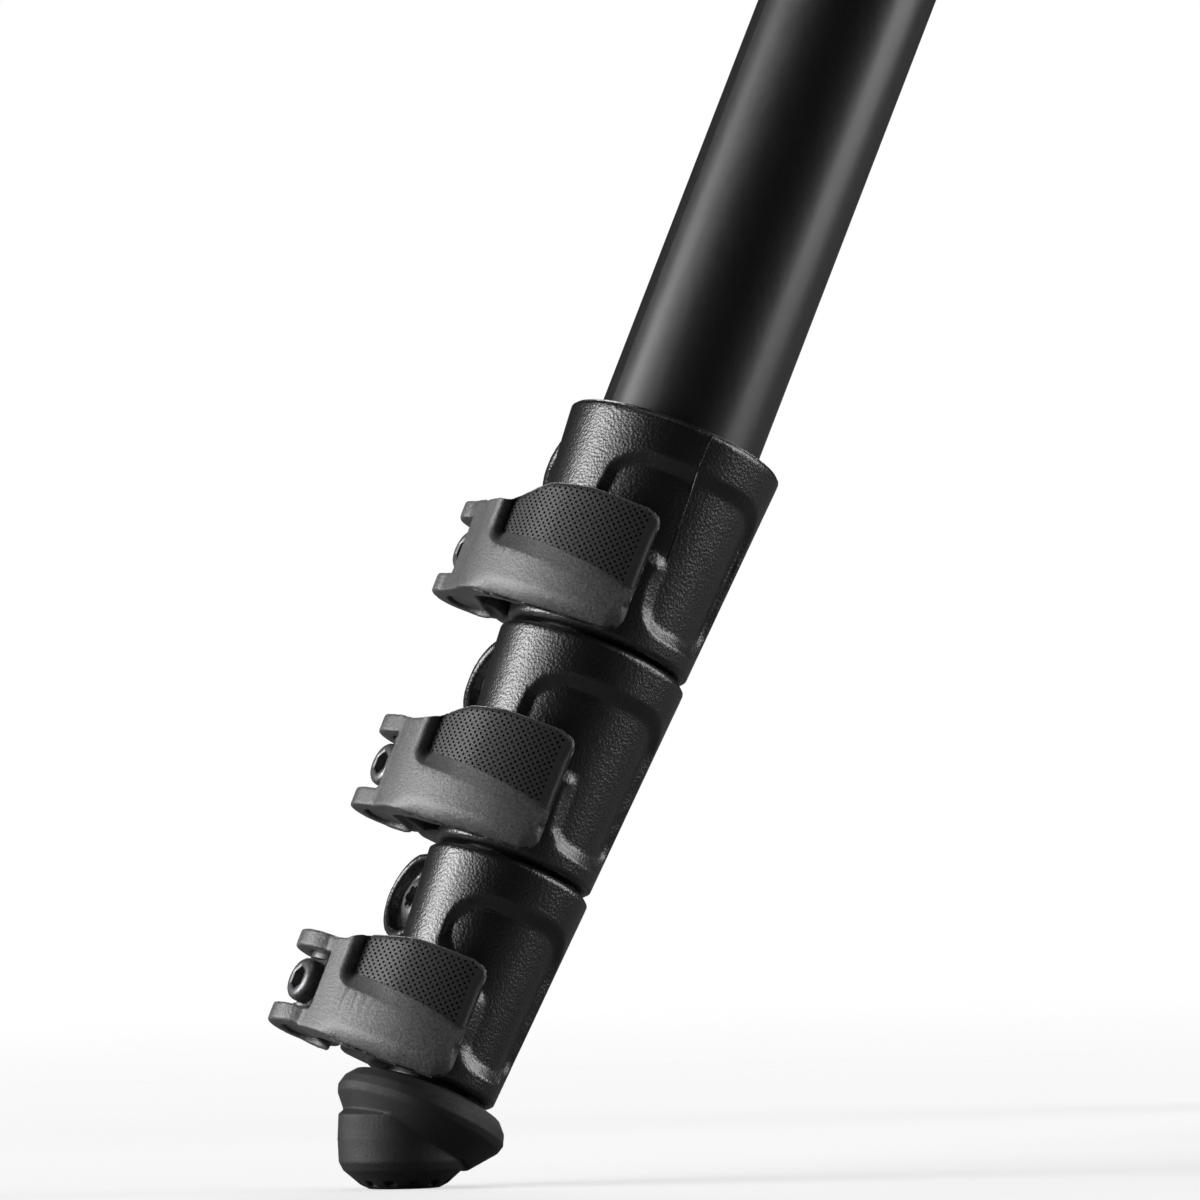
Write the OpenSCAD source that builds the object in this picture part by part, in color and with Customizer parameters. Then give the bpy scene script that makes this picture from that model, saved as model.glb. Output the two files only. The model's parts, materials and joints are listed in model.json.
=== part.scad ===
// Travel tripod with three four-section legs, lever locks and a sliding centre column.
// The origin is the centre of the head seat on top of the column, with +Z up.
// The legs stand at their first stop, pushed together, on rubber feet.

/* [Stance] */
// Angle between a leg and the vertical at its first stop
spread = 25; // [20:1:30]
// Distance of the leg hinges from the column axis
hinge_radius = 36; // [35:1:42]
// Depth of the leg hinges below the head seat
hinge_drop = 30; // [28:1:34]
// Distance along a leg from its hinge to the first lock collar
hinge_to_collar = 271; // [240:1:300]

/* [Tubes] */
// Outside diameter of the top leg tube
top_tube_d = 23.1; // [21.5:0.5:23.5]
// How much narrower each next leg tube is
tube_step = 3.7; // [3.3:0.1:3.7]
// Wall of the leg tubes
tube_wall = 1.3; // [1:0.1:1.4]
// Length of the guide sleeve round the top of each sliding tube
sleeve_len = 36; // [20:1:50]
// Radial clearance where one tube slides in another or in a collar
slide_fit = 0.08; // [0.04:0.01:0.1]

/* [Lock collars] */
// Length of a lock collar
collar_len = 32; // [30:0.5:34]
// Gap between two stacked collars
collar_gap = 0.5; // [0.4:0.1:2]
// Wall of a collar over the tube it is fixed to
collar_wall_top = 3.8; // [3.4:0.1:4.4]
// Wall of a collar over the tube it clamps
collar_wall_bottom = 3.4; // [3.2:0.1:4]
// Depth to which the upper tube goes into its collar
tube_seat = 16; // [15:0.5:17]
// Depth of the finger recess in a collar
recess_depth = 1; // [0.6:0.1:1.4]
// Width of the split in a collar
split_w = 1.6; // [1:0.1:2.4]
// Diameter of the clamp and fixing screws
screw_d = 4; // [3.5:0.1:4.2]

/* [Levers] */
// Wall thickness of a lever
lever_t = 3.2; // [2.6:0.1:3.6]
// Distance of the lever pivot from the leg axis, outwards
pivot_out = 14; // [13.5:0.1:15]
// Outside radius of a lever's arm
arm_r = 22.5; // [22:0.1:24]
// Angle along the arm at which a lever ends, from the direction it faces
lever_end = 3.5; // [0:0.5:6]
// Depth of the thumb pad's border
pad_depth = 0.8; // [0.4:0.1:1]
// Height of the fork of a lever
fork_h = 13.5; // [13:0.5:14]
// Height of the notch in the fork
notch_h = 8.4; // [7:0.1:8.4]

/* [Foot] */
// Distance along a leg from the last collar to the sole
foot_reach = 15.2; // [14.8:0.1:17]
// Largest radius of a foot
foot_r = 12.1; // [11.5:0.1:13]
// Radius of the level sole under a foot
sole_r = 9; // [8.5:0.1:9.5]
// Depth of the tread grooves
tread_depth = 1.2; // [0.6:0.1:1.6]

/* [Hinges] */
// Radius of the hinge knuckles on the spider
knuckle_r = 9; // [8.5:0.1:9.3]
// Width of the hinge knuckles
knuckle_w = 14; // [12:0.5:16]
// Thickness of each ear of a leg yoke
ear_t = 5.5; // [4.5:0.1:6]
// Length of a leg yoke below its hinge
yoke_len = 52; // [48:1:56]
// Radius of the hinge block
block_r = 17.5; // [17:0.1:18]
// How far the hinge block reaches below the hinges
block_below = 22; // [20:1:26]
// Diameter of the hinge bolts
hinge_bolt_d = 6; // [5:0.5:7]

/* [Centre column] */
// Outside diameter of the centre column
column_d = 22; // [20:0.5:23]
// Length of the centre column
column_len = 240; // [200:1:260]
// Wall of the centre column
column_wall = 1.5; // [1.2:0.1:2]
// Radius of the head plate
plate_r = 20; // [18:0.5:22]
// Thickness of the head plate with its pad
plate_h = 6; // [5:0.5:8]
// Length of the head stud above its seat
stud_len = 11; // [8:0.5:14]
// Length of the head plate's spigot inside the column
spigot_len = 12; // [8:1:16]
// Radius of the column lock knob
knob_r = 11; // [9:0.5:11.5]
// Length of the lock knob
knob_len = 12.6; // [11:0.2:16]

/* [Hidden] */
$fn = 64;
letters = ["a", "b", "c"];
azimuths = [210, 330, 90];
run_gap = 0.3;          // between pieces that move past each other
seat_gap = 0.05;        // between pieces that are fixed together
stud_r = 4.76;          // a 3/8 inch stud
set_screw_r = 1.5;
lock_r = 3;             // the lock screw of the column
knob_at = block_r + 6.4;
collar_pitch = collar_len + collar_gap;
sole_at = hinge_to_collar + 2 * collar_pitch + collar_len + foot_reach;
fork_mid = -(collar_len - fork_h / 2 - 1.2);
fixing_z = -6.6;        // height of the fixing screw below a collar's top
boss_out = 7.5;         // ends of the fixing screw's boss
boss_back = 6;
lug_front = 8.5;        // ends of the clamp lugs
lug_back = 8;
barrel_r = 3;
facing_a = 62;          // direction round the leg that the levers face, from outwards
pad_r = arm_r - 2;      // the thumb pad is rounder than the arm
pad_skin = 0.3;         // thickness of the pitted skin on the pad

// Radius of leg tube n, counted from the top
function tube_r(n) = (top_tube_d - (n - 1) * tube_step) / 2;
// Distance along a leg from its hinge to the top of collar n
function collar_at(n) = hinge_to_collar + (n - 1) * collar_pitch;
// Outside radii of collar n, at its top, at its bottom and at a height below its top
function collar_top_r(n) = tube_r(n) + collar_wall_top;
function collar_bottom_r(n) = tube_r(n + 1) + collar_wall_bottom;
function collar_r(n, z) = collar_top_r(n) + (collar_bottom_r(n) - collar_top_r(n)) * -z / collar_len;
// Distance from the leg axis to the clamp screw beside the clamped tube
function screw_side(n) = tube_r(n + 1) + 4.4;
// Distance from the leg axis to the fixing screw beside the fixed tube
function fixing_side(n) = tube_r(1) + screw_d / 2 + 1.05 - 1.2 * (n - 1);
// How far in front of a tube's axis the pivot of its lever stands
function pivot_x(n) = pivot_out + 0.8 * (n - 1);
// Distance along a leg from its hinge to the top end of tube n
function tube_top(n) = 16 + 4 * n;
// How far behind the leg axis the arm of the lever on collar n has its centre
function arm_back(n) = arm_r - lever_t - collar_r(n, -13) - 0.6;

// Puts a leg's own frame in place: its hinge is the origin, +X points outwards and +Z up the leg
module at_leg(i) {
    rotate([0, 0, azimuths[i]]) translate([hinge_radius, 0, -hinge_drop]) rotate([0, -spread, 0])
        children();
}

module at_collar(n) {
    translate([0, 0, -collar_at(n)]) children();
}

// A cylinder along +X from x0 to x1
module rod_x(r, x0, x1) {
    translate([x0, 0, 0]) rotate([0, 90, 0]) cylinder(h = x1 - x0, r = r);
}

module rounded_rect(w, h, r) {
    square([w - 2 * r, h], center = true);
    square([w, h - 2 * r], center = true);
    for (x = [-1, 1], y = [-1, 1])
        translate([x * (w / 2 - r), y * (h / 2 - r)]) circle(r);
}

// Leg tube n, with the guide sleeve round its top end where it slides in the tube above
module leg_tube(n) {
    end = n == 4 ? sole_at - 5 : collar_at(n) + tube_seat - seat_gap;
    color("#151515") translate([0, 0, -end])
        pipe(end - tube_top(n), tube_r(n), tube_r(n) - tube_wall);
    if (n > 1) color("#303030") translate([0, 0, -tube_top(n) - sleeve_len])
        pipe(sleeve_len, tube_r(n - 1) - tube_wall - slide_fit, tube_r(n) + 0.02);
}

module pipe(h, r_out, r_in) {
    difference() {
        cylinder(h = h, r = r_out);
        translate([0, 0, -1]) cylinder(h = h + 2, r = r_in);
    }
}

// Outer body of a collar: a taper with a rounded top edge
module collar_body(n) {
    rt = collar_top_r(n);
    rb = collar_bottom_r(n);
    edge = 1.3;
    rotate_extrude() polygon(concat(
        [[0, 0]],
        [for (a = [0:15:90]) [rt - edge + edge * sin(a), -edge + edge * cos(a)]],
        [[rb + 0.05, -collar_len + 0.8], [rb - 0.6, -collar_len], [0, -collar_len]]));
}

// The space a finger needs beside the lever's free end, sunk into the collar's side
module finger_recess(n) {
    w = 0.83 * collar_r(n, -15);
    rotate([0, 0, 88.5]) difference() {
        rotate([90, 0, 90]) linear_extrude(collar_top_r(n) + 5) {
            translate([0, -11.6]) rounded_rect(2 * w, 10.2, 4.2);
            translate([w / 2 - 0.7, -17.4]) rounded_rect(w + 1.4, 17.2, 3.8);
        }
        translate([0, 0, -collar_len]) cylinder(h = collar_len,
            r1 = collar_bottom_r(n) - recess_depth, r2 = collar_top_r(n) - recess_depth);
    }
}

// Boss of the screw that fixes a collar to its own tube
module fixing_boss(n) {
    translate([0, -fixing_side(n), fixing_z]) rod_x(6.4, -boss_back, boss_out);
}

// The two clamp lugs beside the split, as one block
module clamp_lugs(n) {
    out = screw_side(n) + screw_d / 2 + 2.2;
    chamfer = 1.4;
    translate([0, 0, fork_mid - fork_h / 2 + 0.6]) linear_extrude(fork_h - 1.2)
        polygon([[-lug_back, 0], [-lug_back, -out + chamfer], [-lug_back + chamfer, -out],
            [lug_front - chamfer, -out], [lug_front, -out + chamfer], [lug_front, 0]]);
}

module lock_collar(n) {
    grip = tube_r(n + 1);
    side = screw_side(n);
    color("#101010") difference() {
        union() {
            difference() {
                collar_body(n);
                finger_recess(n);
            }
            fixing_boss(n);
            clamp_lugs(n);
        }
        translate([0, 0, -tube_seat]) cylinder(h = tube_seat + 1, r = tube_r(n) + seat_gap);
        translate([0, 0, -collar_len - 1]) cylinder(h = collar_len, r = grip + slide_fit);
        // the split between the lugs, and the slit that frees the clamping half
        translate([-split_w / 2, -side - 14, -collar_len - 1]) cube([split_w, side + 14, collar_len + 2]);
        translate([-30, -side - 14, -tube_seat - 1.2]) cube([60, side + 14 - grip * 0.35, 0.8]);
        // clamp screw and its nut
        translate([0, -side, fork_mid]) {
            rod_x(screw_d / 2 + seat_gap, -20, 20);
            rod_x(3.7, -20, -lug_back + 2.4);
        }
        // fixing screw, the seat of its head and its nut
        translate([0, -fixing_side(n), fixing_z]) {
            rod_x(screw_d / 2 + seat_gap, -20, 20);
            rod_x(4 + 0.4 * n, boss_out - 2.15, 20);
            rod_x(3.7, -20, -boss_back + 2.4);
        }
    }
}

// A screw along X with its head's face at x = 0 and its tip at -length
module socket_screw(length, head_r, head_h) {
    difference() {
        union() {
            rod_x(head_r, -head_h, -0.6);
            translate([-0.6, 0, 0]) rotate([0, 90, 0]) cylinder(h = 0.6, r1 = head_r, r2 = head_r - 0.6);
            rod_x(screw_d / 2, -length, -head_h + 0.1);
        }
        translate([-1.5, 0, 0]) rotate([0, 90, 0]) cylinder(h = 2, r = 1.7, $fn = 6);
    }
}

// Clamp screw, pivot barrel, nut and fixing screw of lock n, as separate solids
module lock_screws(n) {
    side = screw_side(n);
    head_face = pivot_x(n) + 3.9;
    color("#1a1a1a") {
        translate([head_face, -side, fork_mid])
            socket_screw(head_face + lug_back, 3.1, 2.2);
        translate([pivot_x(n), -side, fork_mid]) difference() {
            translate([0, 0, -fork_h / 2 + 0.2]) cylinder(h = fork_h - 0.4, r = barrel_r);
            rod_x(screw_d / 2 + seat_gap, -5, 5);
            translate([1.65, -5, -3.4]) cube([5, 10, 6.8]);
        }
        translate([-lug_back, -side, fork_mid]) nut();
        translate([boss_out - 0.4, -fixing_side(n), fixing_z])
            socket_screw(boss_out - 0.4 + boss_back, 3.7, 1.7);
        translate([-boss_back, -fixing_side(n), fixing_z]) nut();
    }
}

// Hexagonal nut along X, with its face at x = 0.1
module nut() {
    translate([0.1, 0, 0]) difference() {
        rotate([0, 90, 0]) cylinder(h = 2.2, r = 3.5, $fn = 6);
        rod_x(screw_d / 2 + seat_gap, -5, 5);
    }
}

// Turns to the direction that a lever faces, so that its sides can be drawn square to it
module facing() {
    rotate([0, 0, facing_a]) rotate([0, 0, -90]) children();
}

// Where the pivot of lever n is, facing it
function eye_x(n) = -pivot_x(n) * sin(facing_a) - screw_side(n) * cos(facing_a);
// A point of a lever's arm, seen from above and facing it: a is the angle along the arm
function arm_point(n, a, r) = [r * sin(a), r * cos(a) - arm_back(n)];

// A lever before its height is cut: the eyes round the pivot, and the arm that wraps the collar
module lever_prism(n, h) {
    side = screw_side(n);
    inner = arm_r - lever_t;
    eye = [eye_x(n), pivot_x(n) * cos(facing_a) - side * sin(facing_a)];
    facing() mirror([1, 0, 0]) {
        translate([0, -arm_back(n), 0]) difference() {
            cylinder(h = h, r = arm_r);
            translate([0, 0, -1]) cylinder(h = h + 2, r = inner);
            translate([0, 0, -1]) linear_extrude(h + 2) polygon(concat([[0, 0]],
                [for (a = [lever_end : (290 - lever_end) / 8 : 291]) 1.9 * arm_r * [sin(a), cos(a)]]));
        }
        translate(arm_point(n, lever_end, arm_r - lever_t / 2)) cylinder(h = h, r = lever_t / 2 - 0.05);
        translate(eye + [0.2 * n - 1.1, 0]) cylinder(h = h, r = 4.6);
        linear_extrude(h) polygon([eye + [-4.4, 1], eye + [-4.2, 3.2], arm_point(n, -66, arm_r - 0.2),
            arm_point(n, -52, arm_r - 0.3), arm_point(n, -52, inner + 0.4), arm_point(n, -66, inner + 0.4),
            eye + [2.6, 3.2], eye + [1.5, -0.5], eye + [-3, -3]]);
    }
}

// Side view of a lever, facing it: x runs towards the free end, and the heights count from the fork's foot
module lever_side(n) {
    e = 0.7 * (n - 2);
    d = 0.42 * pow(n - 1, 2);
    b = max(0, d - 0.42) * 0.8;
    translate([0, fork_mid - fork_h / 2]) polygon([[-30, 0], [-19, -0.2], [-12, -0.9 - b / 2], [-5, -1 - b],
        [0.4, -0.9 - b], [2, -0.2 - b], [3.2, 1.6 - b], [3, 14 - d], [1.9, 15.8 - d], [0.2, 16.8 - d],
        [-8, 17.1 - d], [-12.6 + e, 16.6 - d], [-14.4 + e, 15.6 - d / 2], [-16.2 + e, 14.2],
        [-18 + e, 13.2], [-20 + e, 13.1], [-21.4 + e, fork_h], [-30, fork_h]]);
}

module lock_lever(n) {
    side = screw_side(n);
    color("#3a3a3a") difference() {
        intersection() {
            translate([0, 0, -collar_len - 3]) lever_prism(n, collar_len);
            facing() mirror([1, 0, 0]) translate([0, 30, 0]) rotate([90, 0, 0]) linear_extrude(60) lever_side(n);
        }
        translate([pivot_x(n), -side, fork_mid]) {
            translate([0, 0, -fork_h]) cylinder(h = 2 * fork_h, r = barrel_r + 0.08);
            translate([0, 0, -notch_h / 2]) cylinder(h = notch_h, r = 6);
        }
        // the sunken thumb pad, cut in three steps that make its sloping border
        pad_cut(n, pad_depth, 0);
        pad_cut(n, pad_depth * 2 / 3, 0.6);
        pad_cut(n, pad_depth / 3, 1.2);
    }
}

// Takes a lever down to a rounder arc over its thumb pad, with a border of the given width added
module pad_cut(n, depth, border) {
    x = -9.95 - 0.78 * tube_r(n + 1) - border;
    y = fork_mid - fork_h / 2 - border;
    facing() mirror([1, 0, 0]) difference() {
        rotate([90, 0, 0]) translate([0, 0, -40]) linear_extrude(40) polygon([
            [x, 0], [6, 0], [6, y + 5.4], [x + 1, y + 9], [x, y + 9.9]]);
        translate([0, arm_r - pad_r - arm_back(n), -45]) cylinder(h = 45, r = pad_r + pad_depth - depth - pad_skin);
    }
}

// Where a sole stands, with Z upright at the first stop
module sole_frame() {
    translate([0, 0, -sole_at]) rotate([0, spread, 0]) translate([-2.5, 0, 0]) children();
}

// Rubber foot: a cap round the last tube, and a sole that stands level at the first stop
module foot() {
    color("#1c1c1c") difference() {
        union() {
            translate([-0.6, 0, -collar_at(3) - collar_len]) rotate_extrude() polygon([[0, -0.5],
                [foot_r - 4.3, -0.5], [foot_r - 1.5, -1.3], [foot_r - 0.4, -2.6], [foot_r, -4],
                [foot_r - 0.3, -5], [foot_r - 3.2, -8.6], [0, -8.6]]);
            sole_frame() rotate_extrude() polygon([[0, 0], [sole_r - 4.2, 0],
                [sole_r - 3, 0.6], [sole_r - 0.7, 2.6], [sole_r - 0.1, 3.8], [sole_r, 7],
                [sole_r - 0.2, 10.4], [sole_r - 3.4, 12.8], [0, 12.8]]);
        }
        translate([0, 0, -sole_at + 4.9]) cylinder(h = 20, r = tube_r(4) + seat_gap);
        sole_frame() for (a = [15:30:345]) rotate([0, 0, a])
            translate([sole_r - 3.6, -0.6, -1]) cube([6, 1.2, tread_depth + 1]);
    }
}

// Side view of one ear of a yoke
module ear_side() {
    r = knuckle_r;
    circle(r + 0.4);
    polygon([[-r - 0.4, 0], [r + 0.4, 0], [1.6 * r, -0.6 * r], [1.64 * r, -2.45 * r], [1.47 * r, -3 * r],
        [-1.47 * r, -3 * r], [-1.51 * r, -2.2 * r], [-r - 0.8, -0.9 * r]]);
}

// Top casting of a leg: two hinge ears on a sleeve that holds the upper tube
module yoke() {
    ear_y = knuckle_w / 2 + run_gap;
    sleeve_r = tube_r(1) + 3;
    top = knuckle_r + 3;
    color("#141414") difference() {
        union() {
            rotate_extrude() polygon([[0, -top], [sleeve_r - 4, -top], [sleeve_r - 0.8, -top - 3.5],
                [sleeve_r, -top - 7], [sleeve_r, -yoke_len + 2], [sleeve_r - 0.9, -yoke_len],
                [0, -yoke_len]]);
            for (s = [-1, 1])
                translate([0, s * (ear_y + ear_t / 2) + ear_t / 2, 0]) rotate([90, 0, 0])
                    linear_extrude(ear_t) ear_side();
        }
        translate([0, 0, -2 * yoke_len])
            cylinder(h = 2 * yoke_len - tube_top(1) + seat_gap, r = tube_r(1) + seat_gap);
        rotate([90, 0, 0]) cylinder(h = 4 * knuckle_w, r = hinge_bolt_d / 2 + 0.08, center = true);
        // the pocket in which the angle latch slides
        translate([knuckle_r + 0.4, -ear_y, -2.65 * knuckle_r])
            cube([2.2 * knuckle_r, 2 * ear_y, 4.4 * knuckle_r]);
    }
}

// Spring-loaded catch that holds the leg at its angle stops
module angle_latch() {
    w = knuckle_w - 0.2;
    r = knuckle_r;
    color("#333333") translate([r + 0.7, w / 2, 0]) rotate([90, 0, 0]) linear_extrude(w) polygon(r * [
        [0, -1.95], [0.51, -1.95], [0.58, -1.83], [0.58, -0.89], [0.92, -0.72], [0.92, -0.51],
        [0.8, -0.38], [0.33, -0.29], [0, -0.61]]);
}

// Central casting: barrel, three hinge knuckles and the boss of the lock screw
module spider() {
    bore = column_d / 2 + 1.4;
    foot_z = -hinge_drop - block_below;
    color("#121212") difference() {
        union() {
            rotate_extrude() polygon([[0, -plate_h - run_gap], [plate_r - 0.6, -plate_h - run_gap],
                [plate_r, -plate_h - 1], [plate_r, -plate_h - 3], [block_r, -plate_h - 7],
                [block_r - 0.5, -hinge_drop], [block_r - 0.9, foot_z + 8], [block_r - 2.5, foot_z],
                [0, foot_z]]);
            for (i = [0:2]) rotate([0, 0, azimuths[i]])
                translate([0, knuckle_w / 2, -hinge_drop]) rotate([90, 0, 0])
                    linear_extrude(knuckle_w) knuckle_side();
            translate([0, 0, -hinge_drop]) rotate([0, 0, -90]) rod_x(0.43 * block_r, 10, block_r + 6);
        }
        translate([0, 0, -100]) cylinder(h = 200, r = bore + seat_gap);
        translate([0, 0, -hinge_drop]) {
            rotate([0, 0, -90]) rod_x(lock_r + 0.1, 5, 2 * block_r);
            for (a = azimuths) rotate([0, 0, a]) translate([hinge_radius, 0, 0]) rotate([90, 0, 0])
                cylinder(h = 4 * knuckle_w, r = hinge_bolt_d / 2 + seat_gap, center = true);
        }
    }
}

// Side view of one arm of the spider, with the notches of the angle stops in its rim
module knuckle_side() {
    difference() {
        union() {
            translate([hinge_radius, 0]) circle(knuckle_r);
            polygon([[block_r - 4.5, 2], [hinge_radius - 4, 2], [hinge_radius, -knuckle_r + 0.05],
                [block_r + 1.5, -0.6 * block_r], [block_r - 4.5, -0.8 * block_r]]);
        }
        for (stop = [0, 24]) translate([hinge_radius, 0]) rotate(stop - 20)
            translate([knuckle_r + 0.4, 0]) circle(1.7);
    }
}

// Bolts through the three leg hinges, each with a domed head at both ends
module hinge_bolts() {
    reach = knuckle_w / 2 + run_gap + ear_t + run_gap;
    color("#202020") for (i = [0:2]) at_leg(i) rotate([90, 0, 0]) difference() {
        union() {
            translate([0, 0, -reach]) cylinder(h = 2 * reach, r = hinge_bolt_d / 2);
            for (s = [0, 1]) mirror([0, 0, s]) translate([0, 0, reach]) rotate_extrude()
                polygon([[0, 0], [6.2, 0], [6.2, 0.9], [5.6, 1.6], [4.2, 2], [0, 2]]);
        }
        for (s = [0, 1]) mirror([0, 0, s])
            translate([0, 0, reach + 0.6]) cylinder(h = 3, r = 2.3, $fn = 6);
    }
}

module column() {
    r = column_d / 2;
    color("#161616") translate([0, 0, -plate_h - column_len]) pipe(column_len, r, r - column_wall);
}

module column_bush() {
    r = column_d / 2;
    bottom = -hinge_drop - block_below;
    color("#2b2b2b") difference() {
        union() {
            translate([0, 0, bottom - 1]) cylinder(h = -plate_h - 0.5 - bottom, r = r + 1.4);
            translate([0, 0, bottom - 2]) cylinder(h = 2 - seat_gap, r = r + 3.2);
        }
        translate([0, 0, -100]) cylinder(h = 200, r = r + slide_fit);
        translate([0, 0, -hinge_drop]) rotate([0, 0, -90]) rod_x(lock_r + 0.1, 5, 2 * block_r);
    }
}

module column_cap() {
    r = column_d / 2;
    color("#262626") translate([0, 0, -plate_h - column_len]) rotate_extrude() polygon([
        [0, 8], [r - column_wall - seat_gap, 8], [r - column_wall - seat_gap, -seat_gap],
        [r + 0.9, -seat_gap], [r + 0.9, -3], [r - 0.6, -4.6], [0, -5]]);
}

module head_plate() {
    spigot = column_d / 2 - column_wall - seat_gap;
    color("#151515") difference() {
        rotate_extrude() polygon([[0, -1], [plate_r - 0.8, -1], [plate_r, -1.8], [plate_r, -plate_h + 0.5],
            [plate_r - 0.5, -plate_h], [spigot, -plate_h], [spigot, -plate_h - spigot_len],
            [0, -plate_h - spigot_len]]);
        translate([0, 0, -plate_h - spigot_len - 1])
            cylinder(h = 2 * (plate_h + spigot_len), r = stud_r - 0.6 + seat_gap);
        for (a = [30:120:270]) rotate([0, 0, a]) translate([plate_r - 4.5, 0, -20])
            cylinder(h = 30, r = set_screw_r + seat_gap);
    }
}

module head_pad() {
    color("#2d2d2d") translate([0, 0, -1 + seat_gap]) difference() {
        cylinder(h = 1 - seat_gap, r = plate_r - 1.2);
        translate([0, 0, -1]) cylinder(h = 3, r = stud_r + 2.2);
        for (a = [30:120:270]) rotate([0, 0, a]) translate([plate_r - 4.5, 0, -1])
            cylinder(h = 3, r = 2.2);
    }
}

// Grub screws that are turned up against the underside of a head, so that it can't unscrew
module set_screws() {
    color("#222222") for (a = [30:120:270]) rotate([0, 0, a])
        translate([plate_r - 4.5, 0, -plate_h + 0.5]) difference() {
            cylinder(h = plate_h - 0.8, r = set_screw_r);
            translate([0, 0, -1]) cylinder(h = 2.6, r = 0.85, $fn = 6);
        }
}

module head_stud() {
    color("#8a8a8a") {
        translate([0, 0, -plate_h - spigot_len]) cylinder(h = plate_h + spigot_len + 1, r = stud_r - 0.6);
        cylinder(h = stud_len - 1, r = stud_r);
        translate([0, 0, stud_len - 1]) cylinder(h = 1, r1 = stud_r, r2 = stud_r - 1);
    }
}

// Screw that presses on the column through the spider and its bush
module lock_screw() {
    color("#3c3c3c") translate([0, 0, -hinge_drop]) rotate([0, 0, -90])
        rod_x(lock_r, column_d / 2 + 0.2, knob_at + knob_len / 2);
}

// Lobed knob on the end of the lock screw
module lock_knob() {
    end = knob_at + knob_len;
    color("#242424") translate([0, 0, -hinge_drop]) rotate([0, 0, -90]) difference() {
        union() {
            rod_x(knob_r - 3.2, knob_at, end);
            for (k = [0:5]) rotate([60 * k, 0, 0]) translate([0, 0, knob_r - 3])
                rod_x(3, knob_at + 1.6, end - 1);
            rod_x(knob_r - 1.6, knob_at + 2.1, end - 1.5);
        }
        rod_x(lock_r + seat_gap, knob_at - 4, knob_at + knob_len / 2 + seat_gap);
        rod_x(0.4 * knob_r, end - 1, end + 4);
    }
}

spider();
hinge_bolts();
column();
column_bush();
column_cap();
head_plate();
head_pad();
head_stud();
set_screws();
lock_knob();
lock_screw();
for (i = [0:2]) {
    leg = str("leg_", letters[i], "_");
    at_leg(i) yoke();
    at_leg(i) angle_latch();
    at_leg(i) leg_tube(1);
    at_leg(i) leg_tube(2);
    at_leg(i) leg_tube(3);
    at_leg(i) leg_tube(4);
    at_leg(i) foot();
    for (n = [1:3]) {
        at_leg(i) at_collar(n) lock_collar(n);
        at_leg(i) at_collar(n) lock_lever(n);
        at_leg(i) at_collar(n) lock_screws(n);
    }
}
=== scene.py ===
"""Looks of the travel tripod: cast collars, moulded levers, tubes, screws, feet and head."""
import json
import math

import bmesh
import bpy
from mathutils import Matrix, Vector


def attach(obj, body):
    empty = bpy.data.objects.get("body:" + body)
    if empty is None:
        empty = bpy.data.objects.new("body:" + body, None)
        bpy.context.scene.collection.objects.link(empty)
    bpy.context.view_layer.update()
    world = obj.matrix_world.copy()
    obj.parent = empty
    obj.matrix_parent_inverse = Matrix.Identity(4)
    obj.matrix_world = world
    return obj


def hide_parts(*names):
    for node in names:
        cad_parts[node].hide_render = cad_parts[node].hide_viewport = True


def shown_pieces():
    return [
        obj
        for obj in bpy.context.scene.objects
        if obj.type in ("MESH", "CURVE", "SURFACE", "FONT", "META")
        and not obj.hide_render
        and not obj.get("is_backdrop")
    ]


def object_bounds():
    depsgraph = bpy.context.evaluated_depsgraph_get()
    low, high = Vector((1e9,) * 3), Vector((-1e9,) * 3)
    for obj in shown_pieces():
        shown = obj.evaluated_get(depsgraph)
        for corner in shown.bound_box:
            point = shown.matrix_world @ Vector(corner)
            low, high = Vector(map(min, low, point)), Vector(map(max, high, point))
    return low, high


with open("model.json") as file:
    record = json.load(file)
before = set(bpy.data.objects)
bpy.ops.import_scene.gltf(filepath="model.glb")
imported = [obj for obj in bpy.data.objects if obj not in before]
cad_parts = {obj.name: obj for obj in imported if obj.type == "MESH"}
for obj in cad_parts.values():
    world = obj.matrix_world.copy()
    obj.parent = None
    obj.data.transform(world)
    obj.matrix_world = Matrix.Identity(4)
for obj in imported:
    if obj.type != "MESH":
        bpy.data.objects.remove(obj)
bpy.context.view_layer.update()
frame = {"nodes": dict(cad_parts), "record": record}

bl_info = {
    "name": "Travel tripod looks",
    "version": (1, 0, 0),
    "blender": (4, 5, 0),
    "location": "View3D > Sidebar > Tripod",
    "description": "Dresses the travel tripod: cast, moulded, anodised and rubber pieces, and a studio",
    "category": "Object",
}

MM = 0.001
LEGS = {"a": 210.0, "b": 330.0, "c": 90.0}
SPREAD = math.radians(25)
HINGE = Vector((36 * MM, 0, -30 * MM))
COLLAR_AT = {1: 271.0, 2: 303.5, 3: 336.0}
COLLAR_LEN = 32.0
COLLAR_WALL_TOP, COLLAR_WALL_LOW = 3.8, 3.4     # outside the tube it sits on, and the next one
RECESS_DEPTH, RECESS_DROP = 1.0, 2.6            # of a finger recess, and how far its lower half goes down
RECESS_FOOT, RECESS_HEAD = -31.8, -4            # where its border ends, in mm above the collar's top
RECESS_START, RECESS_END = 10, 165              # and in degrees round the leg
TUBE_R = {1: 11.55, 2: 9.7, 3: 7.85, 4: 6.0}
SECTION = {1: "", 2: "_section_2", 3: "_section_3", 4: "_section_4"}
FACING = math.radians(62)                       # the levers' outline is drawn square to this, round the leg
ARM_R, LEVER_T, PAD_R = 22.5, 3.2, 20.5
FORK_FOOT, FORK_H = -30.8, 13.5
FORK_MID = FORK_FOOT + FORK_H / 2
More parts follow.
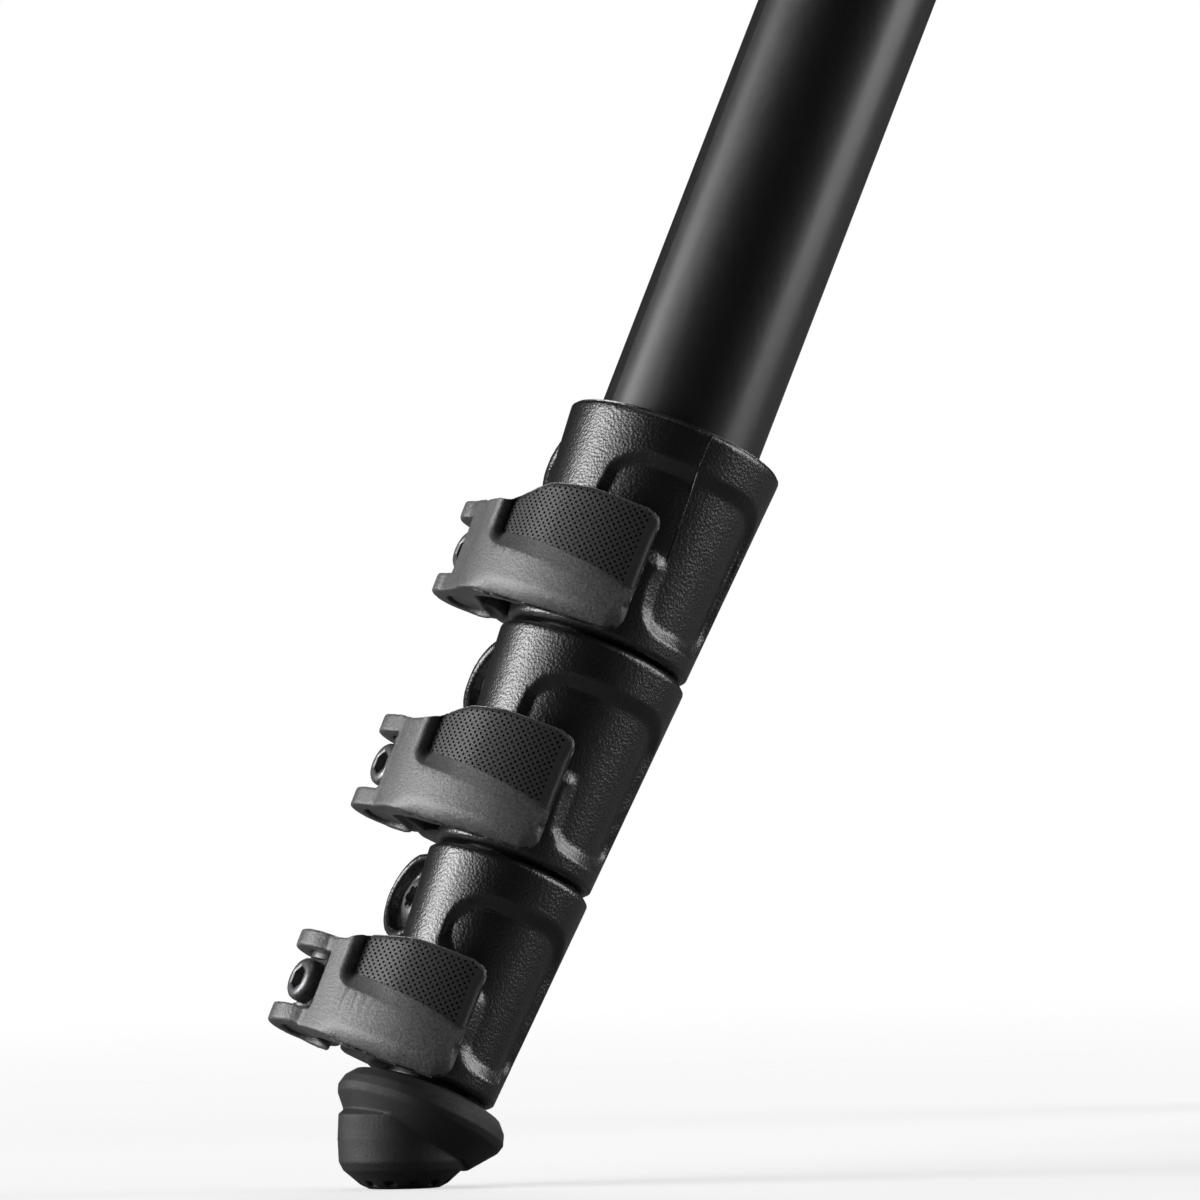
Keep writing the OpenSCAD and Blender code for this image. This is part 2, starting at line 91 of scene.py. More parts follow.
BOSS_OUT, BOSS_BACK, LUG_BACK, FIXING_Z = 7.5, 6.0, 8.0, -6.6
PIT_DEPTH = 0.28 * MM
ROLL_IN, ROLL_HIGH = 1.6, 2.6                   # rounding of a lever's lower edge, inwards and up
CORNER_PUSH, CORNER_REACH = 0.55, 1.6           # filling of a lever's upper free corner, and how wide it is
CAMERA_LENS, CAMERA_AWAY = 522, 2.4             # a long lens, in mm, and its distance in m
CAMERA_TURN, CAMERA_ROLL = math.radians(2.3), math.radians(1.3)
RECESS_ROUNDS = 20                              # of smoothing round a finger recess
SNAP = 0.3                                      # a remeshed face this near its true one goes back to it
# degrees round the leg, mm above the collar's top, and share of the recess's depth
SEAM_PATH = (
    (81, -0.6, 0), (80.6, -5, 0), (83.5, -9.4, 1), (84.6, -14.3, 1), (85.6, -18.4, 1), (84.6, -19.4, 1),
    (78.4, -20.2, 1), (77.4, -21, 1), (79.6, -24.5, 1), (83.6, -28.2, 0.8))
# mm to the side and outwards
SEAM_PROFILE = ((-0.16, -0.2), (-0.08, 0.03), (0, 0.08), (0.08, 0.03), (0.16, -0.2))


def leg_matrix(leg):
    """The leg's own frame: hinge at the origin, +X outwards, +Z up along the leg."""
    turn = Matrix.Rotation(math.radians(LEGS[leg]), 4, "Z")
    return turn @ Matrix.Translation(HINGE) @ Matrix.Rotation(-SPREAD, 4, "Y")


def collar_radius(n, z):
    """Outside radius in mm of collar n at z mm above its top, which is negative."""
    top = TUBE_R[n] + COLLAR_WALL_TOP
    bottom = TUBE_R[n + 1] + COLLAR_WALL_LOW
    return top + (bottom - top) * -z / COLLAR_LEN


def screw_side(n):
    """How far the clamp screw and the pivot stand from the leg's axis."""
    return TUBE_R[n + 1] + 4.4


def fixing_side(n):
    """How far the fixing screw stands from the leg's axis."""
    return TUBE_R[1] + 3.05 - 1.2 * (n - 1)


def pivot_x(n):
    """How far outwards the pivot of lever n stands."""
    return 14 + 0.8 * (n - 1)


def arm_back(n):
    """How far the centre of the lever's arc lies behind the leg's axis."""
    return ARM_R - LEVER_T - collar_radius(n, -13) - 0.6


def facing_point(n, x, y, z):
    """A point given facing the levers of lock n, in mm, as a place in the leg's own frame."""
    s, c = math.sin(FACING), math.cos(FACING)
    return Vector((-x * s + y * c, x * c + y * s, z - COLLAR_AT[n])) * MM


def body_name(leg, n):
    return f"leg_{leg}{SECTION[n]}"


class TripodLooks(bpy.types.PropertyGroup):
    paint_color: bpy.props.FloatVectorProperty(
        name="Wrinkle paint", description="Colour of the cast pieces", subtype="COLOR",
        size=3, default=(0.007, 0.007, 0.0072), min=0, max=1)
    lever_color: bpy.props.FloatVectorProperty(
        name="Levers", description="Colour of the moulded levers", subtype="COLOR",
        size=3, default=(0.07, 0.07, 0.0713), min=0, max=1)
    tube_color: bpy.props.FloatVectorProperty(
        name="Tubes", description="Colour of the anodised tubes", subtype="COLOR",
        size=3, default=(0.007, 0.007, 0.0072), min=0, max=1)
    rubber_color: bpy.props.FloatVectorProperty(
        name="Rubber", description="Colour of the feet and the knob", subtype="COLOR",
        size=3, default=(0.013, 0.013, 0.0132), min=0, max=1)
    grain: bpy.props.FloatProperty(
        name="Paint grain", description="Size of one wrinkle of the paint",
        default=0.00038, min=0.0003, max=0.002, subtype="DISTANCE", unit="LENGTH")
    edge: bpy.props.FloatProperty(
        name="Cast detail", description="Size of the voxels that round the cast edges",
        default=0.00045, min=0.0002, max=0.001, subtype="DISTANCE", unit="LENGTH")
    pit_pitch: bpy.props.FloatProperty(
        name="Pit spacing", description="Distance between the pits of a thumb pad",
        default=0.00069, min=0.0005, max=0.002, subtype="DISTANCE", unit="LENGTH")
    pit_radius: bpy.props.FloatProperty(
        name="Pit radius", description="Radius of a pit of a thumb pad",
        default=0.00018, min=0.0001, max=0.0005, subtype="DISTANCE", unit="LENGTH")


def looks():
    return bpy.context.scene.tripod_looks


# Materials

def new_material(name, color, roughness, metallic=0.0, specular=0.5):
    """The material of that name; its tree and shader come too while it is new."""
    m = bpy.data.materials.get(name)
    if m:
        return m, None, None
    m = bpy.data.materials.new(name)
    m.use_nodes = True
    tree = m.node_tree
    shader = tree.nodes["Principled BSDF"]
    shader.inputs["Base Color"].default_value = (*color, 1)
    shader.inputs["Roughness"].default_value = roughness
    shader.inputs["Metallic"].default_value = metallic
    shader.inputs["Specular IOR Level"].default_value = specular
    m.diffuse_color = (*color, 1)
    return m, tree, shader


def noise(tree, scale, detail=2.0, rough=0.5, stretch=None):
    """Noise in the object's own metres; stretch scales it along each axis."""
    place = tree.nodes.new("ShaderNodeTexCoord").outputs["Object"]
    if stretch:
        mapping = tree.nodes.new("ShaderNodeMapping")
        mapping.inputs["Scale"].default_value = stretch
        tree.links.new(place, mapping.inputs["Vector"])
        place = mapping.outputs["Vector"]
    n = tree.nodes.new("ShaderNodeTexNoise")
    n.inputs["Scale"].default_value = scale
    n.inputs["Detail"].default_value = detail
    n.inputs["Roughness"].default_value = rough
    tree.links.new(place, n.inputs["Vector"])
    return n.outputs["Fac"]


def cells(tree, scale, smoothness=0.6):
    """Soft round cells, for wrinkles."""
    place = tree.nodes.new("ShaderNodeTexCoord").outputs["Object"]
    v = tree.nodes.new("ShaderNodeTexVoronoi")
    v.feature = "SMOOTH_F1"
    v.inputs["Scale"].default_value = scale
    v.inputs["Smoothness"].default_value = smoothness
    tree.links.new(place, v.inputs["Vector"])
    return v.outputs["Distance"]


def ramp(tree, value, low, high, to_low, to_high):
    """Value, brought from low and high to to_low and to_high."""
    r = tree.nodes.new("ShaderNodeMapRange")
    for key, number in zip(("From Min", "From Max", "To Min", "To Max"), (low, high, to_low, to_high)):
        r.inputs[key].default_value = number
    tree.links.new(value, r.inputs["Value"])
    return r.outputs["Result"]


def total(tree, a, b, weight):
    """The sum of a and weight times b."""
    n = tree.nodes.new("ShaderNodeMath")
    n.operation = "MULTIPLY_ADD"
    n.inputs[1].default_value = weight
    tree.links.new(b, n.inputs[0])
    tree.links.new(a, n.inputs[2])
    return n.outputs[0]


def bump(tree, shader, height, distance, strength=1.0):
    """Relief of the given height in metres."""
    b = tree.nodes.new("ShaderNodeBump")
    b.inputs["Distance"].default_value = distance
    b.inputs["Strength"].default_value = strength
    tree.links.new(height, b.inputs["Height"])
    tree.links.new(b.outputs["Normal"], shader.inputs["Normal"])


def tint(tree, shader, value, color, low=0.75, high=1.3):
    """Varies the base colour a little with value."""
    mix = tree.nodes.new("ShaderNodeMix")
    mix.data_type = "RGBA"
    mix.inputs["A"].default_value = (*[c * low for c in color], 1)
    mix.inputs["B"].default_value = (*[c * high for c in color], 1)
    tree.links.new(value, mix.inputs["Factor"])
    tree.links.new(mix.outputs["Result"], shader.inputs["Base Color"])


def wrinkle_paint():
    look = looks()
    m, tree, shader = new_material("wrinkle_paint", look.paint_color, 0.36, specular=0.85)
    if tree:
        grain = cells(tree, 1 / look.grain)
        fine = noise(tree, 2.6 / look.grain, 3.0, 0.6)
        height = total(tree, grain, fine, 0.4)
        bump(tree, shader, height, 0.000048, 1.0)
        patch = noise(tree, 90, 2.0)
        mixed = total(tree, fine, patch, 0.5)
        tree.links.new(ramp(tree, mixed, 0.4, 1.1, 0.26, 0.38), shader.inputs["Roughness"])
        tint(tree, shader, fine, look.paint_color)
    return m


def moulded_plastic():
    look = looks()
    m, tree, shader = new_material("moulded_lever_plastic", look.lever_color, 0.42, specular=1.0)
    if tree:
        fine = noise(tree, 2800, 4.0, 0.7)
        bump(tree, shader, fine, 0.0001, 1.0)
        tree.links.new(ramp(tree, fine, 0.3, 0.7, 0.36, 0.52), shader.inputs["Roughness"])
        tint(tree, shader, ramp(tree, fine, 0.35, 0.7, 0.0, 1.0), look.lever_color, 0.5, 1.8)
    return m


def anodised():
    look = looks()
    m, tree, shader = new_material("black_anodised_tube", look.tube_color, 0.3, specular=1.0)
    if tree:
        fine = noise(tree, 6000, 2.0, 0.6)
        drawn = noise(tree, 900, 2.0, 0.5, (1, 1, 0.04))
        bump(tree, shader, fine, 0.000018, 0.6)
        mixed = total(tree, fine, drawn, 0.6)
        tree.links.new(ramp(tree, mixed, 0.5, 1.1, 0.3, 0.37), shader.inputs["Roughness"])
        tint(tree, shader, fine, look.tube_color, 0.8, 1.25)
    return m


def black_rubber():
    look = looks()
    m, tree, shader = new_material("matt_rubber", look.rubber_color, 0.62, specular=0.45)
    if tree:
        fine = noise(tree, 3200, 4.0, 0.6)
        bump(tree, shader, fine, 0.00009, 0.7)
        dust = noise(tree, 240, 3.0)
        tree.links.new(ramp(tree, dust, 0.3, 0.7, 0.55, 0.72), shader.inputs["Roughness"])
        tint(tree, shader, dust, look.rubber_color, 0.8, 1.4)
    return m


def black_steel():
    m, tree, shader = new_material("black_oxide_steel", (0.14, 0.14, 0.145), 0.36, metallic=0.7)
    if tree:
        fine = noise(tree, 4000, 3.0)
        bump(tree, shader, fine, 0.00003, 0.5)
        tree.links.new(ramp(tree, fine, 0.3, 0.7, 0.3, 0.48), shader.inputs["Roughness"])
    return m


def bare_steel():
    m, tree, shader = new_material("turned_steel", (0.42, 0.42, 0.43), 0.28, metallic=1.0)
    if tree:
        rings = noise(tree, 600, 2.0, 0.5, (0.1, 0.1, 8))
        bump(tree, shader, rings, 0.00003, 0.4)
        tree.links.new(ramp(tree, rings, 0.3, 0.7, 0.22, 0.38), shader.inputs["Roughness"])
    return m


def black_plastic():
    # Used for real black plastic pieces, and as painted shade on the sunk faces of the thumb pads' pits, which
    # are really lever plastic
    m, tree, shader = new_material("matt_black_plastic", (0.03, 0.03, 0.031), 0.5)
    if tree:
        fine = noise(tree, 4200, 3.0, 0.6)
        bump(tree, shader, fine, 0.00005, 0.6)
        tree.links.new(ramp(tree, fine, 0.3, 0.7, 0.44, 0.58), shader.inputs["Roughness"])
    return m


FINISH = {
    "cast_paint": wrinkle_paint, "lever_plastic": moulded_plastic, "anodised_tube": anodised,
    "satin_anodised": anodised, "rubber": black_rubber, "black_steel": black_steel,
    "bare_steel": bare_steel, "black_plastic": black_plastic,
}


def slot_of(node):
    for s in frame["record"]["subparts"]:
        if s["node"] == node:
            return s["material_slot"]
    raise RuntimeError(f"no slot for {node}")


def paint_node(node):
    """Gives a CAD node, whose shape stays, its finish."""
    obj = frame["nodes"][node]
    obj.data.materials.clear()
    obj.data.materials.append(FINISH[slot_of(node)]())


# Meshes

def link(name, mesh, materials, body, replaces=()):
    """Puts a mesh in the scene as a piece that rides a body and stands in for CAD nodes."""
    obj = bpy.data.objects.new(name, mesh)
    bpy.context.scene.collection.objects.link(obj)
    places = [p.material_index for p in mesh.polygons]
    mesh.materials.clear()
    for material in materials:
        mesh.materials.append(material)
    mesh.polygons.foreach_set("material_index", places)
    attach(obj, body)
    if replaces:
        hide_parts(*replaces)


def crisp(mesh):
    """Smooth shading that keeps the real edges sharp."""
    mesh.shade_smooth()
    mesh.set_sharp_from_angle(angle=math.radians(35))


def merged_copy(node):
    """A copy of a CAD node's mesh, with its doubled corners made one."""
    mesh = frame["nodes"][node].data.copy()
    bm = bmesh.new()
    bm.from_mesh(mesh)
    bmesh.ops.remove_doubles(bm, verts=bm.verts, dist=2e-6)
    bm.to_mesh(mesh)
    bm.free()
    return mesh


def joined(name, meshes):
    """Several meshes as one."""
    bm = bmesh.new()
    for m in meshes:
        bm.from_mesh(m)
    mesh = bpy.data.meshes.new(name)
    bm.to_mesh(mesh)
    bm.free()
    return mesh


def finished(obj):
    """The object's mesh with its modifiers applied; the object itself goes."""
    graph = bpy.context.evaluated_depsgraph_get()
    mesh = bpy.data.meshes.new_from_object(obj.evaluated_get(graph))
    bpy.data.objects.remove(obj)
    return mesh


def rounded_copy(node, voxel, rounds, keep, more=(), place=Matrix()):
    """The node's mesh, with more solids added, and its edges rounded as moulding leaves them.

    The voxels lie along the axes of place, so faces square to them stay flat."""
    mesh = joined(node, [merged_copy(node), *more])
    mesh.transform(place.inverted())
    obj = bpy.data.objects.new(node + "_work", mesh)
    bpy.context.scene.collection.objects.link(obj)
    remesh = obj.modifiers.new("Remesh", "REMESH")
    remesh.mode = "VOXEL"
    remesh.voxel_size = voxel
    smooth = obj.modifiers.new("Smooth", "SMOOTH")
    smooth.factor = 0.5
    smooth.iterations = rounds
    mesh = thinned(finished(obj), keep)
    mesh.transform(place)
    return mesh


def thinned(mesh, keep):
    """The mesh with fewer faces where it is flat."""
    if keep < 1:
        obj = bpy.data.objects.new("thin_work", mesh)
        bpy.context.scene.collection.objects.link(obj)
        thin = obj.modifiers.new("Decimate", "DECIMATE")
        thin.ratio = keep
        mesh = finished(obj)
    mesh.shade_smooth()
    return mesh


def for_each_leg(make, mesh):
    """Calls make(leg, mesh) for each leg, with the mesh of leg a turned to it."""
    for leg in LEGS:
        copy = mesh.copy()
        copy.transform(leg_matrix(leg) @ leg_matrix("a").inverted())
        make(leg, copy)


def fade(value, start, end):
    """0 at start, 1 from end on, with a soft passage between."""
    t = min(1, max(0, (value - start) / (end - start)))
    return t * t * (3 - 2 * t)


def eased(gap, near):
    """A gap to a true surface, closed where it is small and left alone from near on."""
    share = min(1, abs(gap) / near)
    return gap * (1 - (1 - share ** 2) ** 2)


def recess_drop(z, turn):
    """How far a finger recess is let down, z mm above the collar's top and turn degrees round the leg."""
    share = fade(z, -10, -16.7) * fade(z, RECESS_FOOT, -26) * fade(turn, 40, 60) * fade(turn, RECESS_END, 150)
    return RECESS_DROP * share


def soften_recess(mesh, n):
    """Lets down the lower half of collar n's finger recess and softens its border as a casting's."""
    skin, solid_foot = 1.6, -29.5                   # thickness that moves, and where the smoothing stops
    to_leg, to_world = leg_matrix("a").inverted(), leg_matrix("a")
    bm = bmesh.new()
    bm.from_mesh(mesh)
    soft = []
    for v in bm.verts:
        p = to_leg @ v.co / MM
        z, turn = p.z + COLLAR_AT[n], math.degrees(math.atan2(p.y, p.x))
        r = math.hypot(p.x, p.y)
        on_border = RECESS_FOOT < z < RECESS_HEAD and RECESS_START < turn < RECESS_END
        if on_border and r > collar_radius(n, z) - skin:
            if z > solid_foot:
                soft.append(v)
            low = z - recess_drop(z, turn)
            new = r + collar_radius(n, low) - collar_radius(n, z)
            v.co = to_world @ (Vector((p.x * new / r, p.y * new / r, low - COLLAR_AT[n])) * MM)
    for _ in range(RECESS_ROUNDS):
        bmesh.ops.smooth_vert(bm, verts=soft, factor=0.5,
                              use_axis_x=True, use_axis_y=True, use_axis_z=True)
    bm.to_mesh(mesh)
    bm.free()


def true_cone(mesh, n):
    """Puts the outside and the recess floor of collar n back on their exact cones."""
    to_leg, to_world = leg_matrix("a").inverted(), leg_matrix("a")
    for v in mesh.vertices:
        p = to_leg @ v.co
        r, cone = math.hypot(p.x, p.y), collar_radius(n, p.z / MM + COLLAR_AT[n]) * MM
        for depth in (0, RECESS_DEPTH * MM):
            gap = r - cone + depth
            if abs(gap) < SNAP * MM:
                new = cone - depth + eased(gap, SNAP * MM)
                v.co = to_world @ Vector((p.x * new / r, p.y * new / r, p.z))
                break


def mould_seam():
    """The thin flash line that the mould's parting left on collar 1."""
    steps = 6
    path = []
    for start, end in zip(SEAM_PATH, SEAM_PATH[1:]):
        for i in range(steps):
            turn, z, deep = (a + (b - a) * i / steps for a, b in zip(start, end))
            angle = math.radians(turn)
            r = collar_radius(1, z) - deep * RECESS_DEPTH + 0.03
            path.append((Vector((r * math.cos(angle), r * math.sin(angle), z - COLLAR_AT[1])) * MM, angle))
    bm = bmesh.new()
    rows = []
    for i, (p, angle) in enumerate(path):
        along = (path[min(i + 1, len(path) - 1)][0] - path[max(i - 1, 0)][0]).normalized()
        out = Vector((math.cos(angle), math.sin(angle), 0))
        side = along.cross(out).normalized()
        rows.append([bm.verts.new(p + out * up * MM + side * off * MM) for off, up in SEAM_PROFILE])
    count = len(SEAM_PROFILE)
    for a, b in zip(rows, rows[1:]):
        for i in range(count):
            bm.faces.new((a[i], a[(i + 1) % count], b[(i + 1) % count], b[i]))
    bm.faces.new(rows[0])
    bm.faces.new(rows[-1][::-1])
    bmesh.ops.recalc_face_normals(bm, faces=bm.faces)
    mesh = bpy.data.meshes.new("mould_seam")
    bm.to_mesh(mesh)
    bm.free()
    mesh.transform(leg_matrix("a"))
    return mesh


class TRIPOD_OT_collars(bpy.types.Operator):
    """Cast lock collars with rounded edges and wrinkle paint"""
    bl_idname = "tripod.collars"
    bl_label = "Lock collars"

    def execute(self, context):
        for n in (1, 2, 3):
            mesh = rounded_copy(f"leg_a_collar_{n}", looks().edge, rounds=3, keep=1.0,
                                place=leg_matrix("a"))
            soften_recess(mesh, n)
            true_cone(mesh, n)
            if n == 1:
                mesh = joined("collar_1", [mesh, mould_seam()])
            mesh.shade_smooth()

            def make(leg, m):
                link(f"cast_collar_{leg}_{n}", m, [wrinkle_paint()], body_name(leg, n),
                     [f"leg_{leg}_collar_{n}"])
            for_each_leg(make, mesh)
        return {"FINISHED"}


def node_group(name, inputs):
    """An empty geometry tree with the named inputs, and its input and output nodes."""
    tree = bpy.data.node_groups.new(name, "GeometryNodeTree")
    for label, kind in inputs:
        tree.interface.new_socket(name=label, in_out="INPUT", socket_type=kind)
    tree.interface.new_socket(name="Geometry", in_out="OUTPUT", socket_type="NodeSocketGeometry")
    return tree, tree.nodes.new("NodeGroupInput"), tree.nodes.new("NodeGroupOutput")


def run_nodes(tree, values):
    """The mesh that a geometry tree makes from the given input values."""
    obj = bpy.data.objects.new(tree.name, bpy.data.meshes.new(tree.name))
    bpy.context.scene.collection.objects.link(obj)
    made = obj.modifiers.new(tree.name, "NODES")
    made.node_group = tree
    for item in tree.interface.items_tree:
        if item.in_out == "INPUT":
            made[item.identifier] = values[item.name]
    return finished(obj)


def pit_tile(spacing, radius, depth):
    """One square of pad skin with a round pit in its middle, turned to stand on a corner."""
    turns = 12
    rings = [(1.06, 0.0), (0.97, -0.25), (0.88, -1.0)]      # shares of the radius and of the depth
    angles = [2 * math.pi * (k + 0.5) / turns + math.pi / 4 for k in range(turns)]
    verts = []
    for a in angles:
        reach = spacing / 2 / max(abs(math.cos(a - math.pi / 4)), abs(math.sin(a - math.pi / 4)))
        verts.append((reach * math.cos(a), reach * math.sin(a), 0))
    for grow, sink in rings:
        for a in angles:
            verts.append((radius * grow * math.cos(a), radius * grow * math.sin(a), depth * sink))
    faces = [(r * turns + k, r * turns + (k + 1) % turns, (r + 1) * turns + (k + 1) % turns,
              (r + 1) * turns + k) for r in range(len(rings)) for k in range(turns)]
    faces.append(tuple(len(rings) * turns + k for k in range(turns)))
    mesh = bpy.data.meshes.new("pit_tile")
    mesh.from_pydata(verts, [], faces)
    return mesh


def pit_tree():
    """Tiles set out in a diagonal grid and joined to one skin; the faces deep in the pits get a darker material
    as painted shade.
    """
    tree, given, out = node_group("pitted_skin", [
        ("Tile", "NodeSocketObject"), ("Columns", "NodeSocketInt"), ("Rows", "NodeSocketInt"),
        ("Spacing", "NodeSocketFloat"), ("Material", "NodeSocketMaterial"),
        ("Pit material", "NodeSocketMaterial"), ("Pit depth", "NodeSocketFloat")])
    new, link_up = tree.nodes.new, tree.links.new
    grid = new("GeometryNodeMeshGrid")
    for axis, count in (("X", "Columns"), ("Y", "Rows")):
        steps = new("ShaderNodeMath")
        steps.operation = "SUBTRACT"
        steps.inputs[1].default_value = 1
        link_up(given.outputs[count], steps.inputs[0])
        size = new("ShaderNodeMath")
        size.operation = "MULTIPLY"
        link_up(steps.outputs[0], size.inputs[0])
        link_up(given.outputs["Spacing"], size.inputs[1])
        link_up(size.outputs[0], grid.inputs["Size " + axis])
        link_up(given.outputs[count], grid.inputs["Vertices " + axis])
    turn = new("GeometryNodeTransform")
    turn.inputs["Rotation"].default_value = (0, 0, math.pi / 4)
    link_up(grid.outputs["Mesh"], turn.inputs["Geometry"])
    tile = new("GeometryNodeObjectInfo")
    link_up(given.outputs["Tile"], tile.inputs["Object"])
    place = new("GeometryNodeInstanceOnPoints")
    link_up(turn.outputs["Geometry"], place.inputs["Points"])
    link_up(tile.outputs["Geometry"], place.inputs["Instance"])
    real = new("GeometryNodeRealizeInstances")
    link_up(place.outputs["Instances"], real.inputs["Geometry"])
    weld = new("GeometryNodeMergeByDistance")
    weld.inputs["Distance"].default_value = 2e-6
    link_up(real.outputs["Geometry"], weld.inputs["Geometry"])
    finish = new("GeometryNodeSetMaterial")
    link_up(weld.outputs["Geometry"], finish.inputs["Geometry"])
    link_up(given.outputs["Material"], finish.inputs["Material"])
    # painted shade: faces deeper than 30 % of the pit depth take the darker material
    height, low = new("ShaderNodeSeparateXYZ"), new("ShaderNodeMath")
    link_up(new("GeometryNodeInputPosition").outputs[0], height.inputs[0])
    low.operation = "MULTIPLY"
    low.inputs[1].default_value = -0.3
    link_up(given.outputs["Pit depth"], low.inputs[0])
    pit_shade_mask = new("ShaderNodeMath")
    pit_shade_mask.operation = "LESS_THAN"
    link_up(height.outputs["Z"], pit_shade_mask.inputs[0])
    link_up(low.outputs[0], pit_shade_mask.inputs[1])
    pit_shade = new("GeometryNodeSetMaterial")
    link_up(finish.outputs["Geometry"], pit_shade.inputs["Geometry"])
    link_up(pit_shade_mask.outputs[0], pit_shade.inputs["Selection"])
    link_up(given.outputs["Pit material"], pit_shade.inputs["Material"])
    link_up(pit_shade.outputs["Geometry"], out.inputs["Geometry"])
    return tree


def height_at(line, x):
    """Height of a line of points at x."""
    for (x0, z0), (x1, z1) in zip(line, line[1:]):
        if x <= x1:
            return z0 + (z1 - z0) * max(0.0, x - x0) / (x1 - x0)
    return line[-1][1]


def height_drop(n):
    """How much lower than lever 1 the top of lever n is, in mm."""
    return 0.42 * (n - 1) ** 2


def top_edge(n, x):
    """Height in mm of a lever's upper edge above its fork's foot, at x mm facing it."""
    e, d = 0.7 * (n - 2), height_drop(n)
    return height_at([(e - 21.4, 13.5), (e - 20, 13.1), (e - 18, 13.2), (e - 16.2, 14.2),
                      (e - 14.4, 15.6 - d / 2), (e - 12.6, 16.6 - d), (-8, 17.1 - d), (0.2, 16.8 - d),
                      (1.9, 15.8 - d), (3, 14 - d)], x)


def bottom_edge(n, x):
    """Height in mm of a lever's lower edge above its fork's foot."""
    b = 0.8 * max(0.0, height_drop(n) - height_drop(2))
    return height_at([(-19, -0.2), (-12, -0.9 - b / 2), (-5, -1 - b), (0.4, -0.9 - b), (2, -0.2 - b)], x)


def pad_left(n):
    """Where the pad of lever n begins, in mm facing it."""
    return -9.95 - 0.78 * TUBE_R[n + 1]


def pad_foot(n, x):
    """Height in mm of the pad's lower edge above the fork's foot."""
    return 9 - 3.6 * (x - pad_left(n) - 1) / (5 - pad_left(n))


def pad_surface(n, x, skin):
    """How far forward of the arm's centre the thumb pad lies, deepest at its left edge."""
    deep = 2.0 * max(0.0, (pad_left(n) + 7 - x) / 7) ** 2
    return ARM_R - PAD_R + math.sqrt(max(0.0, (PAD_R - skin) ** 2 - x ** 2)) - min(deep, 2.0)


def fuller_corner(n, x, up):
    """Pushes the upper free corner of a lever out from its chamfer to a small radius."""
    gone = math.hypot(x - 1.9, up - 15.8 + height_drop(n)) / CORNER_REACH
    push = CORNER_PUSH * math.exp(-gone * gone)
    return x + 0.72 * push, up + 0.65 * push


def thumb_pad(n, flat):
    """The flat skin cut to the pad's outline, rolled over its free edges and bent round the arm."""
    left, end = pad_left(n), 2.6
    over = 0.4                                      # that the skin reaches past the pad, under its border
    bm = bmesh.new()
    bm.from_mesh(flat)
    shift = Vector((-9.5, 12.0))                    # middle of the pad, along the arm and up

    def spot(co):
        along, up = co.x / MM + shift.x, co.y / MM + shift.y
        return PAD_R * math.sin(along / PAD_R), up, along

    def inside(x, up):
        return left - over < x < end and pad_foot(n, x) - over < up < top_edge(n, x) - 0.02
    gone = [f for f in bm.faces if not inside(*spot(f.calc_center_median())[:2])]
    bmesh.ops.delete(bm, geom=gone, context="FACES")
    for v in bm.verts:
        x, up, along = spot(v.co)
        rim = min(top_edge(n, x) - up, end - x)
        pit = v.co.z / MM if rim > 0.5 and end - x > 1.6 else 0.0
        sink = pit - 0.42 * max(0.0, 1 - rim / 0.75) ** 2
        x, up = fuller_corner(n, x, up)
        v.co = facing_point(n, x, pad_surface(n, x, -sink) - arm_back(n), FORK_FOOT + up)
    bmesh.ops.recalc_face_normals(bm, faces=bm.faces)
    middle = facing_point(n, 0, ARM_R - PAD_R - arm_back(n), FORK_FOOT + 12)
    face = max(bm.faces, key=lambda f: f.calc_area())
    if face.normal.dot(face.calc_center_median() - middle) < 0:
        bmesh.ops.reverse_faces(bm, faces=bm.faces)
    mesh = bpy.data.meshes.new(f"thumb_pad_{n}")
    bm.to_mesh(mesh)
    bm.free()
    mesh.transform(leg_matrix("a"))
    crisp(mesh)
    return mesh


def eye_rings(n):
    """The two round bosses of the fork, concentric with the pivot."""
    low = FORK_FOOT - COLLAR_AT[n]
    meshes = []
    for z in (low + 0.1, low + FORK_H - 2.6):
        ring = [(z, 5.3), (z + 2.5, 5.3), (z + 2.5, 3.08), (z, 3.08)]
        meshes.append(turned((pivot_x(n), -screw_side(n), 0), [(*p, round_rim) for p in ring], "Z", bored=True))
        meshes[-1].transform(leg_matrix("a"))
    return meshes


def slope_border(mesh, n):
    """Turns the stepped border of lever n's thumb pad into one even slope."""
    left, back = pad_left(n), arm_back(n)
    wide, high = 2.3, 2.9                           # of the slope at the left and below
    start = left - wide - 0.4                       # where the arm begins to be shaped
    to_leg, to_world = leg_matrix("a").inverted(), leg_matrix("a")
    s, c = math.sin(FACING), math.cos(FACING)
    for v in mesh.vertices:
        p = to_leg @ v.co / MM
        x, y, up = -p.x * s + p.y * c, p.x * c + p.y * s + back, p.z + COLLAR_AT[n] - FORK_FOOT
        if not (start < x < 3.6 and y > 0):
            continue
        at = x
        x, up = fuller_corner(n, x, up)
        y += math.sqrt(PAD_R ** 2 - x ** 2) - math.sqrt(PAD_R ** 2 - at ** 2)
        arm, pad = math.sqrt(ARM_R ** 2 - x ** 2), pad_surface(n, max(left, x), 0.3)
        below = pad_foot(n, x) - up
        side, low = (left - x) / wide, below / high
        out = math.hypot(max(0, side), max(0, low)) or max(side, low)
        rise = up - bottom_edge(n, x)
        if y > arm - 1.2 and out >= 1 and rise < ROLL_HIGH:
            y -= ROLL_IN * (1 - max(0, rise) / ROLL_HIGH) ** 2 * fade(x, start, left + 2) * fade(x, 3.4, 1.4)
        elif y > arm - 2.4 and out < 1:
            y = pad + (arm - pad) * max(0, out)
        elif abs(y - arm) < SNAP:
            y = arm + eased(y - arm, SNAP)
        v.co = to_world @ facing_point(n, x, y - back, FORK_FOOT + up)


